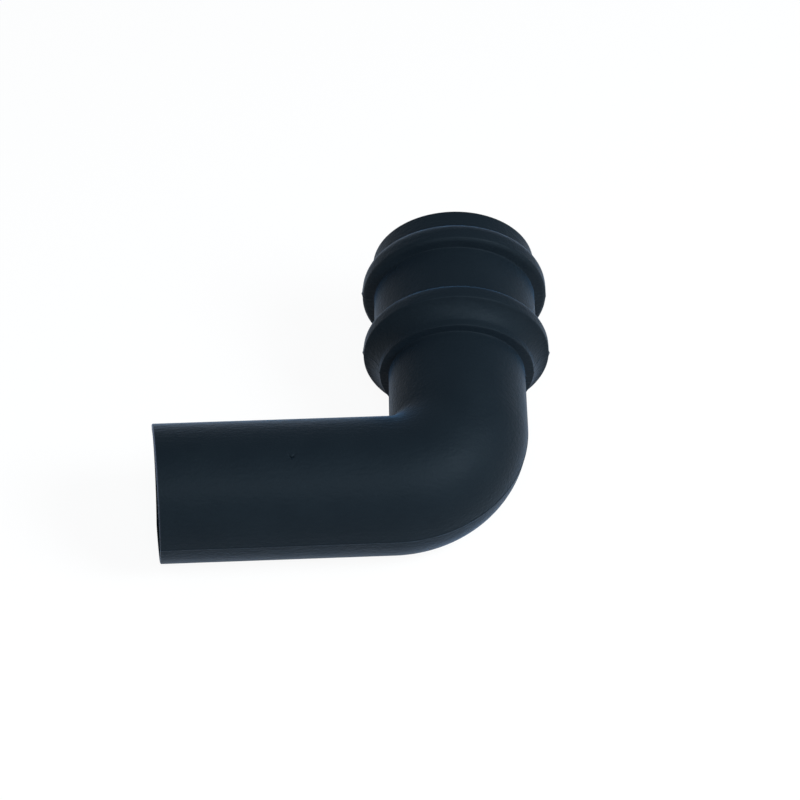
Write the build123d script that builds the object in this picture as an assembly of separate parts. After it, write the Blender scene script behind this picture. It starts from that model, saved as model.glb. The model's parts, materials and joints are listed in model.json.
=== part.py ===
from build123d import *
from math import asin, atan2, cos, degrees, radians, sin, sqrt, tan
import os

# Downpipe bend: one moulded piece, a plain round spigot that turns through a
# crisp elbow into a socket with two raised beads. It lies on its side, on the
# spigot and on the lower bead. Units are millimetres.

# Pipe and elbow
pipe_radius = 34.0             # outside of the spigot, and of the pipe that the socket takes
pipe_wall = 2.5                # wall of the spigot, the elbow and the neck
bend_angle = 92.5              # between the spigot's direction and the socket's
inner_corner_radius = 0.5      # skin at the inner corner of the elbow
spigot_length = 114.8          # straight part, from the elbow to the spigot's end
spigot_end_skew = 2.0          # degrees off square, with the inner side the longer
spigot_chamfer = 0.8
neck_length = 34.9             # straight part, from the elbow to the socket

# Outside of the socket: radii as steps, lengths along its axis from its underside
collar_step = 4.7              # plain collar over the neck
collar_length = 3.7
barrel_step = 6.9              # plain barrel over the pipe
rim_step = 0.5                 # plain band at the mouth over the barrel
lower_bead_height = 5.95       # over the barrel
lower_bead_edge = 11.6         # to the near edge of the bead's plain crest
lower_bead_crest = 4.0         # width of the crest
lower_bead_drop = 1.8          # below the near edge, before the cove down to the collar
cove_hollow = 0.8              # depth of the cove below a straight slope
upper_bead_height = 6.15
upper_bead_edge = 50.2
upper_bead_crest = 4.3
upper_bead_near_width = 1.5    # steep near side, from the edge of the crest down to the barrel
upper_bead_far_width = 7.4     # from the crest up to the rim
edge_bevel = 0.6               # of the lower bead's near edge, along the axis
shoulder_bevel = 1.1           # of the upper bead's near edge, along the axis
shoulder_drop = 1.4            # of the same bevel, across
socket_length = 72.5
outer_chamfer = 0.5            # outer edges of the collar and of the mouth

# Inside of the socket
socket_wall = 2.8
pipe_clearance = 0.5           # radial, between an inserted pipe and its seat
ledge_thickness = 3.0          # ledge that the pipe's end stops on
seat_length = 9.0              # plain ring that holds the pipe's end
mouth_chamfer = 1.0
rib_count = 6                  # guide ribs that keep the pipe central
rib_thickness = 2.2
rib_relief = 0.2               # ribs stand back from the seat by this
rib_setback = 9.0              # from the mouth to a rib's top
rib_lead_in = 7.0              # slope at a rib's top

# Sizes that follow. Stations are measured from the elbow's corner, along either arm.
lean = bend_angle - 90
bend_radius = pipe_radius + inner_corner_radius
bend_tangent = bend_radius / tan(radians(bend_angle / 2))
spigot_end = bend_tangent + spigot_length
bore_radius = pipe_radius - pipe_wall
socket_root = bend_tangent + neck_length
collar_radius = pipe_radius + collar_step
barrel_radius = pipe_radius + barrel_step
rim_radius = barrel_radius + rim_step
lower_crest_radius = barrel_radius + lower_bead_height
upper_crest_radius = barrel_radius + upper_bead_height
lower_crest_start = socket_root + lower_bead_edge
lower_crest_end = lower_crest_start + lower_bead_crest
upper_crest_start = socket_root + upper_bead_edge
upper_crest_end = upper_crest_start + upper_bead_crest
mouth = socket_root + socket_length
seat_radius = pipe_radius + pipe_clearance
seat_start = socket_root + ledge_thickness
seat_end = seat_start + seat_length
socket_bore = barrel_radius - socket_wall
along_spigot = Vector(-cos(radians(lean)), -sin(radians(lean)), 0)


def bent_bar(radius, overshoot, neck_end):
    """Round bar through the spigot, the elbow and the neck, in the bend's own frame.

    The elbow's corner is the origin, the socket's axis is +Y and the bend
    lies in the XY plane.
    """
    spigot_base = Plane(origin=along_spigot * bend_tangent, z_dir=along_spigot)
    neck_base = Plane(origin=(0, bend_tangent, 0), z_dir=(0, 1, 0))
    turning_axis = Axis((-bend_radius, bend_tangent, 0), (0, 0, -1))
    spigot = extrude(spigot_base * Circle(radius), amount=spigot_length + overshoot)
    elbow = revolve(neck_base * Circle(radius), axis=turning_axis, revolution_arc=180 - bend_angle)
    neck = extrude(neck_base * Circle(radius), amount=neck_end - bend_tangent)
    return elbow + spigot + neck


def lower_bead():
    """Profile of the lower bead: a cove up from the collar, a crisp edge, the crest and a round far side."""
    collar_foot = (collar_radius, socket_root + collar_length)
    cove_top = (lower_crest_radius - lower_bead_drop, lower_crest_start - edge_bevel)
    rise = cove_top[0] - collar_foot[0]
    run = cove_top[1] - collar_foot[1]
    hollow = cove_hollow / sqrt(rise**2 + run**2)
    cove_middle = (collar_foot[0] + rise / 2 - hollow * run, collar_foot[1] + run / 2 + hollow * rise)
    crest_start = (lower_crest_radius, lower_crest_start)
    crest_end = (lower_crest_radius, lower_crest_end)
    barrel_foot = (barrel_radius, lower_crest_end + lower_bead_height)
    ThreePointArc(collar_foot, cove_middle, cove_top)
    Polyline(cove_top, crest_start, crest_end)
    TangentArc(crest_end, barrel_foot, tangent=(0, 1))
    return collar_foot, barrel_foot


def upper_bead():
    """Profile of the upper bead: a steep near side, a bevelled shoulder, the crest and a round far side."""
    barrel_foot = (barrel_radius, upper_crest_start - upper_bead_near_width)
    shoulder = (upper_crest_radius - shoulder_drop, upper_crest_start - shoulder_bevel)
    crest_start = (upper_crest_radius, upper_crest_start)
    crest_end = (upper_crest_radius, upper_crest_end)
    rim_foot = (rim_radius, upper_crest_end + upper_bead_far_width)
    Polyline(barrel_foot, shoulder, crest_start, crest_end)
    TangentArc(crest_end, rim_foot, tangent=(0, 1))
    return barrel_foot, rim_foot


def socket_form():
    """The socket's outer form as a solid, revolved about its axis."""
    with BuildSketch(Plane.XY) as profile:
        with BuildLine():
            collar_foot, lower_barrel_foot = lower_bead()
            upper_barrel_foot, rim_foot = upper_bead()
            Line(lower_barrel_foot, upper_barrel_foot)
            Polyline(
                rim_foot,
                (rim_radius, mouth - outer_chamfer),
                (rim_radius - outer_chamfer, mouth),
                (0, mouth),
                (0, socket_root),
                (collar_radius - outer_chamfer, socket_root),
                (collar_radius, socket_root + outer_chamfer),
                collar_foot,
            )
        make_face()
    return revolve(profile.sketch, axis=Axis.Y)


def socket_room():
    """Room inside the socket: the pipe's seat, the wider barrel and the chamfered mouth."""
    widening = socket_bore - seat_radius
    with BuildSketch(Plane.XY) as profile:
        with BuildLine():
            Polyline(
                (0, seat_start),
                (seat_radius, seat_start),
                (seat_radius, seat_end),
                (socket_bore, seat_end + widening),
                (socket_bore, mouth - mouth_chamfer),
                (socket_bore + mouth_chamfer, mouth),
                (0, mouth),
                close=True,
            )
        make_face()
    return revolve(profile.sketch, axis=Axis.Y)


def guide_ribs():
    """Ribs along the barrel that carry on from the seat, each with a sloped top for an easy entry."""
    crest = seat_radius + rib_relief
    top = mouth - rib_setback
    bottom = seat_end - seat_length / 2
    root = socket_bore + socket_wall / 2
    with BuildSketch(Plane.XY) as outline:
        with BuildLine():
            Polyline(
                (crest, bottom),
                (crest, top - rib_lead_in),
                (socket_bore, top),
                (root, top),
                (root, bottom),
                close=True,
            )
        make_face()
    rib = extrude(outline.sketch, amount=rib_thickness / 2, both=True)
    return [rib.rotate(Axis.Y, (n + 0.5) * 360 / rib_count) for n in range(rib_count)]


def spigot_trim():
    """Block beyond the spigot's end, whose face is the end's plane."""
    size = 4 * pipe_radius     # wide and deep enough to take in all that is cut off
    angle = radians(lean + spigot_end_skew)
    end = Plane(origin=along_spigot * spigot_end, z_dir=Vector(-cos(angle), -sin(angle), 0))
    return end * Pos(0, 0, size / 2) * Box(size, size, size)


def rest_roll():
    """Angle about the spigot by which the socket rises when the lower bead meets the floor.

    The bead meets it with the near edge of its crest.
    """
    reach = sqrt(lower_crest_start**2 + lower_crest_radius**2)
    rise = atan2(lower_crest_radius, lower_crest_start) - asin(pipe_radius / reach)
    return degrees(asin(sin(rise) / cos(radians(lean))))


def downpipe_bend():
    """The whole piece, in the bend's own frame."""
    overshoot = pipe_radius
    outside = bent_bar(pipe_radius, overshoot, seat_start) + socket_form() - spigot_trim()
    end_edges = outside.faces().sort_by(Axis.X)[0].edges()
    outside = chamfer(end_edges, spigot_chamfer)
    shell = outside - bent_bar(bore_radius, overshoot, seat_start + ledge_thickness) - socket_room()
    return shell + guide_ribs()


# The bend is turned until the spigot lies along -X, rolled onto its lower bead
# and moved so that the middle of its footprint is the origin.
bend = downpipe_bend()
turned = Rot(X=rest_roll()) * Rot(Z=-lean)
box = (turned * bend).bounding_box()
rest = Pos(-box.center().X, -box.center().Y, -box.min.Z) * turned
bend = rest * bend
bend.label = "downpipe_bend"

os.makedirs("parts", exist_ok=True)
export_step(bend, "parts/downpipe_bend.step")

print("roll about the spigot", rest_roll(), "box", box.size)
marks = {
    "corner": (0, 0, 0),
    "seat middle": (0, (seat_start + seat_end) / 2, 0),
    "mouth": (0, mouth, 0),
    "spigot end": along_spigot * spigot_end,
}
for name, point in marks.items():
    print(name, (rest * Pos(*point)).position)
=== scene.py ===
"""Looks of a moulded downpipe bend that lies on its side, in a plain studio.

The bend is one mesh: a closed skin of rings that follow the spigot, the elbow
and the socket, outside and inside. Its lengths are written in millimetres and
turned into metres when points are placed. Lengths of the floor, the lamps, the
camera and the materials are in metres.
"""

import json
from math import asin, cos, degrees, exp, pi, radians, sin, sqrt, tan

import bpy
from mathutils import Matrix, Vector


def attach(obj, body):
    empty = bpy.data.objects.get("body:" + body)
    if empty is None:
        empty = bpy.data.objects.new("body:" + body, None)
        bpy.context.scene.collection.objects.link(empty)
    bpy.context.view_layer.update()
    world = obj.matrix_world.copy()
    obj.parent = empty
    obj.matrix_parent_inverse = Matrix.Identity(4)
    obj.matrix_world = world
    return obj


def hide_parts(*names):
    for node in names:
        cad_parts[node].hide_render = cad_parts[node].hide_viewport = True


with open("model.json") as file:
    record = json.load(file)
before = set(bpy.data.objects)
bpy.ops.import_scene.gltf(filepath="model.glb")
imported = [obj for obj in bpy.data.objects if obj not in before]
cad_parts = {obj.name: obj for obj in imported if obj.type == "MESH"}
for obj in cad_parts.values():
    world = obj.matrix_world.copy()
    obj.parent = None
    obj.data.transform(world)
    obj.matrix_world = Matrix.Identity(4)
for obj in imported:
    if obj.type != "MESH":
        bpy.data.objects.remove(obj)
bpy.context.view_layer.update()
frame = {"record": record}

MM = 0.001
NODE = "downpipe_bend"

# Pipe and elbow, as in the part
PIPE_RADIUS = 34.0
PIPE_WALL = 2.5
BEND_ANGLE = 92.5
INNER_CORNER_RADIUS = 0.5
SPIGOT_LENGTH = 114.8
SPIGOT_END_SKEW = 2.0
NECK_LENGTH = 34.9

# Outside of the socket
COLLAR_STEP = 4.7
COLLAR_LENGTH = 3.7
BARREL_STEP = 6.9
RIM_STEP = 0.5
LOWER_BEAD_HEIGHT = 5.95
LOWER_BEAD_EDGE = 11.6
LOWER_BEAD_CREST = 4.0
LOWER_BEAD_DROP = 1.8
COVE_HOLLOW = 0.8
UPPER_BEAD_HEIGHT = 6.15
UPPER_BEAD_EDGE = 50.2
UPPER_BEAD_CREST = 4.3
UPPER_BEAD_NEAR_WIDTH = 1.5
UPPER_BEAD_FAR_WIDTH = 7.4
EDGE_BEVEL = 0.6
SHOULDER_BEVEL = 1.1
SHOULDER_DROP = 1.4
SOCKET_LENGTH = 72.5

# Inside of the socket
SOCKET_WALL = 2.8
PIPE_CLEARANCE = 0.5
LEDGE_THICKNESS = 3.0
SEAT_LENGTH = 9.0
MOUTH_CHAMFER = 1.0
RIB_COUNT = 6
RIB_THICKNESS = 2.2
RIB_RELIEF = 0.2
RIB_SETBACK = 9.0
RIB_LEAD_IN = 7.0

# What the mould leaves
SOFTNESS = 0.5                 # spread of the rounding of the edges and corners on the socket's outside
SPIGOT_ROUNDING = 0.7          # of the outer edge of the spigot's end
END_TILT = 2.1                 # degrees, by which the upper side of the spigot's end is cut back further
END_TILT_TOWARDS = 52.0        # angle round the section that is cut back most
END_LIMIT = 1.14               # longest reach of the end beyond the middle of it
SEAM_LIFT = 0.5                # of the parting line above the middle plane
SEAM_HEIGHT = 0.16             # fine ridge of flash along the parting line
SEAM_WIDTH = 0.30
DRAFT_HEIGHT = 0.16            # the pipe swells a little towards the parting line
DRAFT_REACH = 4.7
NUB_HEIGHT = 0.4               # flash left on the crests of the beads
NUB_LENGTH = 0.9
NICK_STATION = -49.6           # small nick in the skin of the spigot
NICK_ANGLE = 79.6
NICK_DEPTH = 1.1
NICK_WIDTH = 0.55
NICK_LENGTH = 1.3

# Columns round a section, in degrees
COLUMN_STEP = 3.0              # between plain columns
SEAM_COLUMNS = (-1.8, -1.2, -0.8, -0.5, -0.25, 0, 0.25, 0.5, 0.8, 1.2, 1.8)    # from the parting line
RIB_COLUMNS = (-0.3, 0, 0.12, 0.5)     # outwards from each side of a rib
NICK_COLUMN_STEP = 0.4
CLOSEST_COLUMNS = 0.05         # nearer ones are left out
RIB_MARGIN = 0.01              # keeps the column at a rib's side on the rib

# Rings along the bend
SPIGOT_PARTS = 10              # stretches that the plain rings divide the spigot into
ELBOW_PARTS = 72
BORE_RING_EVERY = 2            # the bore has fewer rings in the elbow
NECK_PARTS = 4
COVE_PARTS = 12
NICK_RING_STEP = 0.25
NICK_STEPS = 8                 # rings, and columns, to each side of the nick's middle
NUB_STEP = 0.5                 # longest, between rings on a crest
LONGEST_STEP = 8.0             # elsewhere on the socket
ARC_STEP = 7.0                 # degrees of turn between rings
CREST_MARGIN = 0.05            # below the lower crest, for what still counts as a crest
PROFILE_STEP = 0.1             # between the points of the profile that is softened
SOFT_REACH = 3                 # how far its mean goes to each side, in spreads
SOFT_START = 4.0               # plain neck before its first corner
SHARP_ANGLE = 34.0             # degrees, from which an edge is shaded sharp

# Plastic
PLASTIC_IOR = 1.14
SHEEN_WEIGHT = 0.13
SHEEN_ROUGHNESS = 0.35
SHEEN_TINT = (0.25, 0.55, 1.0, 1)
SPECULAR_TINT = (0.75, 0.88, 1.0, 1)
CLOUD_NOISE = (60.0, 3.0)      # scale and detail
CLOUD_RANGE = (0.3, 0.7)       # part of the noise that colour and roughness follow
CLOUD_COLOURS = ((0.0056, 0.0090, 0.0125, 1), (0.0064, 0.0101, 0.0138, 1))
CLOUD_ROUGHNESS = (0.46, 0.53)
STREAK_NOISE = (520.0, 3.0)
STREAK_STRETCH = (0.4, 1.0, 1.0)       # along the spigot
STREAK_RELIEF = 0.0004
GRAIN_NOISE = (900.0, 4.0)
GRAIN_RELIEF = 0.0003
BUMP_STRENGTH = 0.6
# Painted highlight: a lighter colour on the rounded edge at the spigot's end, standing in for the light
# that edge catches. The attribute holds its share.
HIGHLIGHT_ATTRIBUTE = "end_highlight_mask"
END_HIGHLIGHT_COLOUR = (0.16, 0.18, 0.25, 1)
END_HIGHLIGHT_SIDE = 125.0          # angle round the section where the painted highlight is strongest
END_HIGHLIGHT_GAIN = 1.5            # share of the painted highlight's colour at the very end, before it is held to 1

# Floor and world
FLOOR_HALF = 2.0
FLOOR_COLOUR = (0.92, 0.92, 0.92, 1)
FLOOR_ROUGHNESS = 0.9
WHITE_SHARE = 0.92             # of the floor, as the camera and reflections see it
HORIZON_COLOUR = (1, 1, 1, 1)
SKY_COLOUR = (0.28, 0.31, 0.34, 1)
SKY_START = 0.15               # sine of the elevation from which the sky has its own colour

# Lamps: name, azimuth, elevation, distance, size, power in watts, colour
LAMPS = (
    ("key_lamp", 57, 42, 1.1, 0.45, 14.0, (0.85, 0.95, 1.0)),
    ("front_lamp", -4, 48, 1.5, 0.5, 10.0, (0.9, 0.97, 1.0)),
    ("back_lamp", 205, 14, 1.4, 0.9, 1.5, (0.9, 0.97, 1.0)),
)
LAMP_AIM = (0, 0, 0.04)

# Camera
CAMERA_AIM = (0.02025, -0.02624, 0.06331)
CAMERA_AZIMUTH = -4.070
CAMERA_ELEVATION = 42.947
CAMERA_ROLL = 0.869
CAMERA_DISTANCE = 1.3823
CAMERA_LENS = 127.9            # millimetres, as is the sensor's width
CAMERA_SENSOR = 36.0
CAMERA_CLIP = (0.05, 20.0)

# Sizes that follow. Stations run from the elbow's start: negative on the
# spigot, then the elbow's arc, then the neck and the socket.
TURN = radians(180 - BEND_ANGLE)
BEND_RADIUS = PIPE_RADIUS + INNER_CORNER_RADIUS
BEND_TANGENT = BEND_RADIUS / tan(radians(BEND_ANGLE / 2))
ELBOW_LENGTH = BEND_RADIUS * TURN
SOCKET_ROOT = ELBOW_LENGTH + NECK_LENGTH
MOUTH = SOCKET_ROOT + SOCKET_LENGTH
BORE_RADIUS = PIPE_RADIUS - PIPE_WALL
COLLAR_RADIUS = PIPE_RADIUS + COLLAR_STEP
BARREL_RADIUS = PIPE_RADIUS + BARREL_STEP
RIM_RADIUS = BARREL_RADIUS + RIM_STEP
LOWER_CREST_RADIUS = BARREL_RADIUS + LOWER_BEAD_HEIGHT - SEAM_HEIGHT
UPPER_CREST_RADIUS = BARREL_RADIUS + UPPER_BEAD_HEIGHT - SEAM_HEIGHT
SEAT_RADIUS = PIPE_RADIUS + PIPE_CLEARANCE
SOCKET_BORE = BARREL_RADIUS - SOCKET_WALL
RIB_CREST_RADIUS = SEAT_RADIUS + RIB_RELIEF
RIB_HALF_ANGLE = asin(RIB_THICKNESS / 2 / RIB_CREST_RADIUS)


def bend_frame():
    """Matrix that takes the bend's own frame to the row's, found from the two mounts.

    In the bend's own frame the elbow's corner is the origin, the socket's axis
    is +Y, the spigot leaves towards -X and +Z is the side that faces up.
    """
    mounts = {m["name"]: m for m in frame["record"]["mounts"]}
    socket_point = Vector(mounts["socket"]["pos_m"])
    spigot_point = Vector(mounts["spigot"]["pos_m"])
    y_axis = Vector(mounts["socket"]["axis"]).normalized()
    spigot_axis = Vector(mounts["spigot"]["axis"]).normalized()
    z_axis = y_axis.cross(spigot_axis).normalized()
    x_axis = y_axis.cross(z_axis)
    across = spigot_axis.dot(y_axis)
    gap = spigot_point - socket_point
    along_socket = (gap.dot(y_axis) - gap.dot(spigot_axis) * across) / (1 - across**2)
    corner = socket_point + y_axis * along_socket
    turn = Matrix((x_axis, y_axis, z_axis)).transposed().to_4x4()
    return Matrix.Translation(corner) @ turn


def centre_line(station):
    """Point on the centre line and the direction that is outward of the bend there."""
    lean = radians(BEND_ANGLE - 90)
    along_spigot = Vector((-cos(lean), -sin(lean), 0))
    if station <= 0:
        outward = Vector((sin(lean), -cos(lean), 0))
        return along_spigot * (BEND_TANGENT - station), outward
    if station < ELBOW_LENGTH:
        angle = station / BEND_RADIUS - TURN
        outward = Vector((cos(angle), sin(angle), 0))
        centre = Vector((-BEND_RADIUS, BEND_TANGENT, 0))
        return centre + outward * BEND_RADIUS, outward
    return Vector((0, BEND_TANGENT + station - ELBOW_LENGTH, 0)), Vector((1, 0, 0))


def column_angles():
    """Angles of the columns round a section, closer together at the seam, the nick and the ribs' sides."""
    angles = [k * COLUMN_STEP for k in range(round(360 / COLUMN_STEP))]
    lift = degrees(asin(SEAM_LIFT / PIPE_RADIUS))
    for middle in (lift, 180 - lift):
        angles += [middle + step for step in SEAM_COLUMNS]
    angles += [NICK_ANGLE + NICK_COLUMN_STEP * k for k in range(-NICK_STEPS, NICK_STEPS + 1)]
    rib_half = degrees(RIB_HALF_ANGLE)
    for rib in range(RIB_COUNT):
        middle = (rib + 0.5) * 360 / RIB_COUNT
        for side in (-1, 1):
            angles += [middle + side * (rib_half + step) for step in RIB_COLUMNS]
    angles = sorted(angle % 360 for angle in angles)
    kept = [angles[0]]
    for angle in angles[1:]:
        if angle - kept[-1] > CLOSEST_COLUMNS:
            kept.append(angle)
    return [radians(angle) for angle in kept]


def arc(centre, radius, start, end):
    """Points (station, radius) of an arc in the profile.

    The angles are in degrees, from +station towards +radius.
    """
    count = max(2, round(abs(end - start) / ARC_STEP))
    turns = [radians(start + (end - start) * k / count) for k in range(count + 1)]
    return [(centre[0] + radius * cos(t), centre[1] + radius * sin(t)) for t in turns]


def cove(foot, top):
    """Hollow slope between two points of the profile, deepest half way along."""
    rise = top[1] - foot[1]
    run = top[0] - foot[0]
    length = sqrt(rise**2 + run**2)
    points = []
    for k in range(COVE_PARTS + 1):
        share = k / COVE_PARTS
        hollow = 4 * COVE_HOLLOW * share * (1 - share) / length
        points.append((foot[0] + run * share + rise * hollow, foot[1] + rise * share - run * hollow))
    return points


def lower_bead():
    """Corners and arcs of the lower bead, from the collar to the barrel."""
    edge = SOCKET_ROOT + LOWER_BEAD_EDGE
    crest_end = edge + LOWER_BEAD_CREST
    height = LOWER_CREST_RADIUS - BARREL_RADIUS
    drop = (edge - EDGE_BEVEL, LOWER_CREST_RADIUS - LOWER_BEAD_DROP)
    points = cove((SOCKET_ROOT + COLLAR_LENGTH, COLLAR_RADIUS), drop)
    points.append((edge, LOWER_CREST_RADIUS))
    return points + arc((crest_end, BARREL_RADIUS), height, 90, 0)


def upper_bead():
    """Corners and arcs of the upper bead, from the barrel to the rim."""
    edge = SOCKET_ROOT + UPPER_BEAD_EDGE
    crest_end = edge + UPPER_BEAD_CREST
    height = UPPER_CREST_RADIUS - RIM_RADIUS
    radius = (height**2 + UPPER_BEAD_FAR_WIDTH**2) / (2 * height)
    end = degrees(asin((radius - height) / radius))
    points = [(edge - UPPER_BEAD_NEAR_WIDTH, BARREL_RADIUS)]
    points.append((edge - SHOULDER_BEVEL, UPPER_CREST_RADIUS - SHOULDER_DROP))
    points.append((edge, UPPER_CREST_RADIUS))
    return points + arc((crest_end, UPPER_CREST_RADIUS - radius), radius, 90, end)


def softened(corners):
    """Profile with its edges and corners rounded, as a weighted mean over a short length of it."""
    line = [Vector(corner) for corner in corners]
    dense = []
    for start, end in zip(line, line[1:]):
        count = max(1, round((end - start).length / PROFILE_STEP))
        dense += [start.lerp(end, k / count) for k in range(count)]
    dense.append(line[-1])
    reach = round(SOFT_REACH * SOFTNESS / PROFILE_STEP)
    offsets = range(-reach, reach + 1)
    weights = [exp(-((k * PROFILE_STEP / SOFTNESS) ** 2) / 2) for k in offsets]
    smooth = []
    for middle in range(reach, len(dense) - reach):
        mean = Vector((0, 0))
        for offset, weight in zip(offsets, weights):
            mean += dense[middle + offset] * weight
        smooth.append(mean / sum(weights))
    return smooth


def thinned(points):
    """The points that a smooth curve needs, closer together where it turns and on the crests."""
    kept = [points[0]]
    turned = 0
    for before, here, after in zip(points, points[1:], points[2:]):
        turned += (here - before).angle(after - here, 0)
        step = NUB_STEP if here.y > LOWER_CREST_RADIUS - CREST_MARGIN else LONGEST_STEP
        if turned > radians(ARC_STEP) or (here - kept[-1]).length > step:
            kept.append(here)
            turned = 0
    kept.append(points[-1])
    return [tuple(point) for point in kept]


def outer_profile():
    """Outside of the whole bend as (station, radius), from the spigot's end to the mouth."""
    end = -SPIGOT_LENGTH
    points = arc((end + SPIGOT_ROUNDING, PIPE_RADIUS - SPIGOT_ROUNDING), SPIGOT_ROUNDING, 180, 90)
    stations = [end * k / SPIGOT_PARTS for k in range(1, SPIGOT_PARTS)]
    stations += [NICK_STATION + NICK_RING_STEP * k for k in range(-NICK_STEPS, NICK_STEPS + 1)]
    points += [(station, PIPE_RADIUS) for station in sorted(stations)]
    points += [(ELBOW_LENGTH * k / ELBOW_PARTS, PIPE_RADIUS) for k in range(ELBOW_PARTS + 1)]
    points += [(ELBOW_LENGTH + NECK_LENGTH * k / NECK_PARTS, PIPE_RADIUS) for k in range(1, NECK_PARTS)]
    corners = [(SOCKET_ROOT - SOFT_START, PIPE_RADIUS), (SOCKET_ROOT, PIPE_RADIUS)]
    corners.append((SOCKET_ROOT, COLLAR_RADIUS))
    corners += lower_bead()
    corners += upper_bead()
    corners += [(MOUTH, RIM_RADIUS), (MOUTH, SOCKET_BORE)]
    return points + thinned(softened(corners))


def inner_profile():
    """Inside of the whole bend, from the mouth back to the spigot's end.

    Each ring is (station, radius, share of a rib's height).
    """
    seat_start = SOCKET_ROOT + LEDGE_THICKNESS
    seat_end = seat_start + SEAT_LENGTH
    widening = SOCKET_BORE - SEAT_RADIUS
    rib_top = MOUTH - RIB_SETBACK
    points = [(MOUTH, SOCKET_BORE + MOUTH_CHAMFER, 0), (MOUTH - MOUTH_CHAMFER, SOCKET_BORE, 0)]
    points += [(rib_top, SOCKET_BORE, 0), (rib_top - RIB_LEAD_IN, SOCKET_BORE, 1)]
    points += [(seat_end + widening, SOCKET_BORE, 1), (seat_end, SEAT_RADIUS, 1)]
    points += [(seat_start, SEAT_RADIUS, 0), (seat_start, BORE_RADIUS, 0)]
    rings = range(ELBOW_PARTS, -1, -BORE_RING_EVERY)
    points += [(ELBOW_LENGTH * k / ELBOW_PARTS, BORE_RADIUS, 0) for k in rings]
    points += [(-SPIGOT_LENGTH / 2, BORE_RADIUS, 0), (-SPIGOT_LENGTH, BORE_RADIUS, 0)]
    return points


def seam_rise(station, radius, angle):
    """How far the skin stands out at the parting line and near it."""
    over_line = abs(radius * sin(angle) - SEAM_LIFT)
    rise = SEAM_HEIGHT * exp(-((over_line / SEAM_WIDTH) ** 2))
    if radius < COLLAR_RADIUS:
        rise += DRAFT_HEIGHT * max(0, 1 - over_line / DRAFT_REACH) ** 2
    nubs = [SOCKET_ROOT + LOWER_BEAD_EDGE + LOWER_BEAD_CREST / 2]
    if cos(angle) < 0:
        nubs.append(SOCKET_ROOT + UPPER_BEAD_EDGE + UPPER_BEAD_CREST / 2)
    for middle in nubs:
        spread = ((station - middle) / NUB_LENGTH) ** 2 + (over_line / NUB_LENGTH) ** 2
        rise += NUB_HEIGHT * exp(-spread)
    return rise


def nick(station, angle):
    """Depth of the V-shaped nick at this point of the spigot's skin."""
    along = station - NICK_STATION
    across = (angle - radians(NICK_ANGLE)) * PIPE_RADIUS
    spread = (along / NICK_LENGTH) ** 2 + ((across - abs(along)) / NICK_WIDTH) ** 2
    return NICK_DEPTH * exp(-spread)


def end_cut(radius, angle):
    """How much shorter the spigot is at this point of its section than at its middle."""
    skew = radius * cos(angle) * tan(radians(SPIGOT_END_SKEW))
    tilt = radius * cos(angle - radians(END_TILT_TOWARDS)) * tan(radians(END_TILT))
    return max(-END_LIMIT, skew + tilt)


def rib_radius(angle, radius, share):
    """Radius of the bend's inside at this angle, where a rib may stand in from it."""
    pitch = 2 * pi / RIB_COUNT
    from_rib = abs(angle % pitch - pitch / 2)
    if share and from_rib < RIB_HALF_ANGLE + radians(RIB_MARGIN):
        return radius + min(0, RIB_CREST_RADIUS - radius) * share
    return radius


def place(station, radius, angle, to_row):
    """Point of the skin in the row's frame, in metres."""
    if station < 0:
        station *= 1 - end_cut(radius, angle) / SPIGOT_LENGTH
    middle, outward = centre_line(station)
    point = middle + outward * (radius * cos(angle)) + Vector((0, 0, radius * sin(angle)))
    return to_row @ (point * MM)


def paint_end_highlight(mesh, angles):
    """Give the points of the rounded edge at the spigot's end their share of a painted highlight, a
    lighter colour standing in for the light that edge catches.
    """
    count = len(arc((0, 0), SPIGOT_ROUNDING, 180, 90))
    values = mesh.attributes.new(HIGHLIGHT_ATTRIBUTE, "FLOAT", "POINT").data
    for ring in range(count):
        share = min(1, END_HIGHLIGHT_GAIN * (1 - ring / (count - 1)))
        for column, angle in enumerate(angles):
            side = (1 + cos(angle - radians(END_HIGHLIGHT_SIDE))) / 2
            values[ring * len(angles) + column].value = share * side**2


def bend_mesh():
    """The skin of the bend: every ring joined to the next, and the last to the first.

    The corners of a face run so that it faces out of the plastic.
    """
    to_row = bend_frame()
    angles = column_angles()
    points = []
    for station, radius in outer_profile():
        rises = [seam_rise(station, radius, a) - nick(station, a) for a in angles]
        points += [place(station, radius + rise, a, to_row) for a, rise in zip(angles, rises)]
    for station, radius, share in inner_profile():
        points += [place(station, rib_radius(a, radius, share), a, to_row) for a in angles]
    columns = len(angles)
    rings = len(points) // columns
    faces = []
    for ring in range(rings):
        here = ring * columns
        there = (ring + 1) % rings * columns
        for column in range(columns):
            beside = (column + 1) % columns
            faces.append((here + column, there + column, there + beside, here + beside))
    mesh = bpy.data.meshes.new("bend_skin")
    mesh.from_pydata(points, [], faces)
    # painted highlight on the rounded edge at the spigot's end
    paint_end_highlight(mesh, angles)
    mesh.validate()
    mesh.shade_smooth()
    mesh.set_sharp_from_angle(angle=radians(SHARP_ANGLE))
    return mesh


def new_material(name):
    """Material with its node tree."""
    material = bpy.data.materials.new(name)
    material.use_nodes = True
    return material, material.node_tree.nodes, material.node_tree.links


def noise(nodes, links, vector, scale, detail):
    """Output of a noise texture that reads this vector."""
    texture = nodes.new("ShaderNodeTexNoise")
    texture.inputs["Scale"].default_value = scale
    texture.inputs["Detail"].default_value = detail
    links.new(vector, texture.inputs["Vector"])
    return texture.outputs["Fac"]


def relief(nodes, links, height, distance):
    """Bump node that raises the surface by this height."""
    bump = nodes.new("ShaderNodeBump")
    bump.inputs["Strength"].default_value = BUMP_STRENGTH
    bump.inputs["Distance"].default_value = distance
    links.new(height, bump.inputs["Height"])
    return bump


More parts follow.
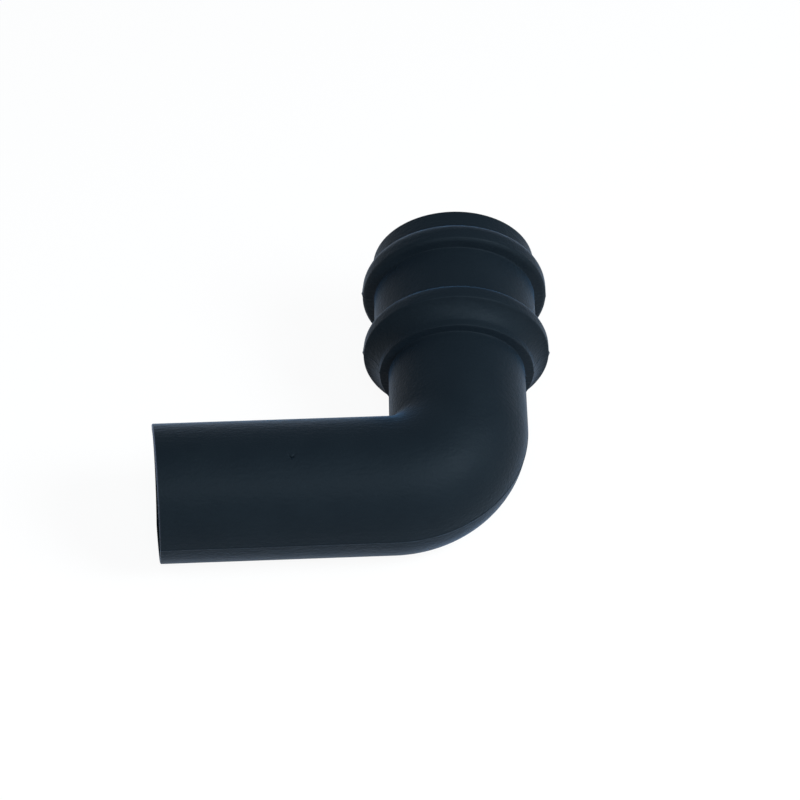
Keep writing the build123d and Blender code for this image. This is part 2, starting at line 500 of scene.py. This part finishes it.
def two_colours(nodes, first, first_place, second, second_place):
    """Colour ramp between two colours."""
    ramp = nodes.new("ShaderNodeValToRGB")
    stops = ramp.color_ramp.elements
    stops[0].position = first_place
    stops[0].color = first
    stops[1].position = second_place
    stops[1].color = second
    return ramp


def larger(nodes, links, first, second):
    """Output of a node that gives the larger of two values."""
    node = nodes.new("ShaderNodeMath")
    node.operation = "MAXIMUM"
    links.new(first, node.inputs[0])
    links.new(second, node.inputs[1])
    return node.outputs["Value"]


def plastic():
    """Black plastic with a fine cast grain and a soft sheen."""
    material, nodes, links = new_material("cast_black_plastic")
    shader = nodes["Principled BSDF"]
    shader.inputs["IOR"].default_value = PLASTIC_IOR
    shader.inputs["Sheen Weight"].default_value = SHEEN_WEIGHT
    shader.inputs["Sheen Roughness"].default_value = SHEEN_ROUGHNESS
    shader.inputs["Sheen Tint"].default_value = SHEEN_TINT
    shader.inputs["Specular Tint"].default_value = SPECULAR_TINT
    position = nodes.new("ShaderNodeTexCoord").outputs["Object"]

    # Faint clouds in the colour and in the roughness
    clouds = noise(nodes, links, position, *CLOUD_NOISE)
    colour = two_colours(nodes, CLOUD_COLOURS[0], CLOUD_RANGE[0], CLOUD_COLOURS[1], CLOUD_RANGE[1])
    links.new(clouds, colour.inputs["Fac"])
    roughness = nodes.new("ShaderNodeMapRange")
    roughness.inputs["From Min"].default_value = CLOUD_RANGE[0]
    roughness.inputs["From Max"].default_value = CLOUD_RANGE[1]
    roughness.inputs["To Min"].default_value = CLOUD_ROUGHNESS[0]
    roughness.inputs["To Max"].default_value = CLOUD_ROUGHNESS[1]
    links.new(clouds, roughness.inputs["Value"])
    links.new(roughness.outputs["Result"], shader.inputs["Roughness"])

    # Painted highlight: the rounded edge of the spigot's end gets a lighter colour, standing in for the
    # light it catches
    end_highlight_mask = nodes.new("ShaderNodeAttribute")
    end_highlight_mask.attribute_name = HIGHLIGHT_ATTRIBUTE
    painted_highlight_mix = nodes.new("ShaderNodeMix")
    painted_highlight_mix.data_type = "RGBA"
    painted_highlight_mix.inputs["B"].default_value = END_HIGHLIGHT_COLOUR
    links.new(end_highlight_mask.outputs["Fac"], painted_highlight_mix.inputs["Factor"])
    links.new(colour.outputs["Color"], painted_highlight_mix.inputs["A"])
    links.new(painted_highlight_mix.outputs["Result"], shader.inputs["Base Color"])

    # Fine streaks along the spigot, as the tool's polishing leaves them, under a finer grain
    drawn = nodes.new("ShaderNodeMapping")
    drawn.inputs["Scale"].default_value = STREAK_STRETCH
    links.new(position, drawn.inputs["Vector"])
    streak_height = noise(nodes, links, drawn.outputs["Vector"], *STREAK_NOISE)
    grain_height = noise(nodes, links, position, *GRAIN_NOISE)
    streaks = relief(nodes, links, streak_height, STREAK_RELIEF)
    grain = relief(nodes, links, grain_height, GRAIN_RELIEF)
    links.new(streaks.outputs["Normal"], grain.inputs["Normal"])
    links.new(grain.outputs["Normal"], shader.inputs["Normal"])
    return material


def bend():
    """The bend, in place on its body."""
    mesh = bend_mesh()
    mesh.materials.append(plastic())
    piece = bpy.data.objects.new("bend_moulding", mesh)
    bpy.context.scene.collection.objects.link(piece)
    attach(piece, "root")
    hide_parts(NODE)


def floor():
    """Plain pale floor.

    Most of what is seen of it, directly or mirrored, is plain white. The rest keeps the shadow.
    """
    material, nodes, links = new_material("pale_floor")
    shader = nodes["Principled BSDF"]
    shader.inputs["Base Color"].default_value = FLOOR_COLOUR
    shader.inputs["Roughness"].default_value = FLOOR_ROUGHNESS
    shader.inputs["Specular IOR Level"].default_value = 0.0
    rays = nodes.new("ShaderNodeLightPath")
    seen = larger(nodes, links, rays.outputs["Is Camera Ray"], rays.outputs["Is Glossy Ray"])
    seen = larger(nodes, links, seen, rays.outputs["Is Transmission Ray"])
    share = nodes.new("ShaderNodeMath")
    share.operation = "MULTIPLY"
    share.inputs[1].default_value = WHITE_SHARE
    links.new(seen, share.inputs[0])
    white = nodes.new("ShaderNodeEmission")
    white.inputs["Strength"].default_value = 1.0
    mix = nodes.new("ShaderNodeMixShader")
    links.new(share.outputs["Value"], mix.inputs["Fac"])
    links.new(shader.outputs["BSDF"], mix.inputs[1])
    links.new(white.outputs["Emission"], mix.inputs[2])
    links.new(mix.outputs["Shader"], nodes["Material Output"].inputs["Surface"])

    mesh = bpy.data.meshes.new("floor")
    corners = [(x * FLOOR_HALF, y * FLOOR_HALF, 0) for x, y in ((-1, -1), (1, -1), (1, 1), (-1, 1))]
    mesh.from_pydata(corners, [], [(0, 1, 2, 3)])
    mesh.materials.append(material)
    piece = bpy.data.objects.new("floor", mesh)
    bpy.context.scene.collection.objects.link(piece)


def studio_world():
    """Even soft light from above, and white below the horizon like the floor."""
    world = bpy.data.worlds.new("studio")
    bpy.context.scene.world = world
    world.use_nodes = True
    nodes = world.node_tree.nodes
    links = world.node_tree.links
    direction = nodes.new("ShaderNodeTexCoord")
    split = nodes.new("ShaderNodeSeparateXYZ")
    ramp = two_colours(nodes, HORIZON_COLOUR, 0.0, SKY_COLOUR, SKY_START)
    links.new(direction.outputs["Generated"], split.inputs["Vector"])
    links.new(split.outputs["Z"], ramp.inputs["Fac"])
    links.new(ramp.outputs["Color"], nodes["Background"].inputs["Color"])


def direction_to(azimuth, elevation):
    """Unit vector from the object, with azimuth 0 towards -Y and 90 towards +X."""
    a = radians(azimuth)
    e = radians(elevation)
    return Vector((sin(a) * cos(e), -cos(a) * cos(e), sin(e)))


def soft_lamp(name, azimuth, elevation, distance, size, power, colour):
    """Square area lamp that faces the middle of the bend."""
    data = bpy.data.lights.new(name, "AREA")
    data.size = size
    data.energy = power
    data.color = colour
    lamp = bpy.data.objects.new(name, data)
    away = direction_to(azimuth, elevation)
    lamp.location = Vector(LAMP_AIM) + away * distance
    lamp.rotation_euler = away.to_track_quat("Z", "Y").to_euler()
    bpy.context.scene.collection.objects.link(lamp)


def camera():
    """Camera at the photograph's viewing angle."""
    roll = radians(CAMERA_ROLL)
    away = direction_to(CAMERA_AZIMUTH, CAMERA_ELEVATION)
    level_right = direction_to(CAMERA_AZIMUTH + 90, 0)
    level_up = away.cross(level_right)
    right = level_right * cos(roll) + level_up * sin(roll)
    up = away.cross(right)
    data = bpy.data.cameras.new("camera")
    data.lens = CAMERA_LENS
    data.sensor_width = CAMERA_SENSOR
    data.clip_start, data.clip_end = CAMERA_CLIP
    piece = bpy.data.objects.new("camera", data)
    turn = Matrix((right, up, away)).transposed().to_4x4()
    piece.matrix_world = Matrix.Translation(Vector(CAMERA_AIM) + away * CAMERA_DISTANCE) @ turn
    bpy.context.scene.collection.objects.link(piece)
    bpy.context.scene.camera = piece


bend()
floor()
studio_world()
for lamp in LAMPS:
    soft_lamp(*lamp)
camera()
bpy.context.scene.view_settings.view_transform = "Standard"
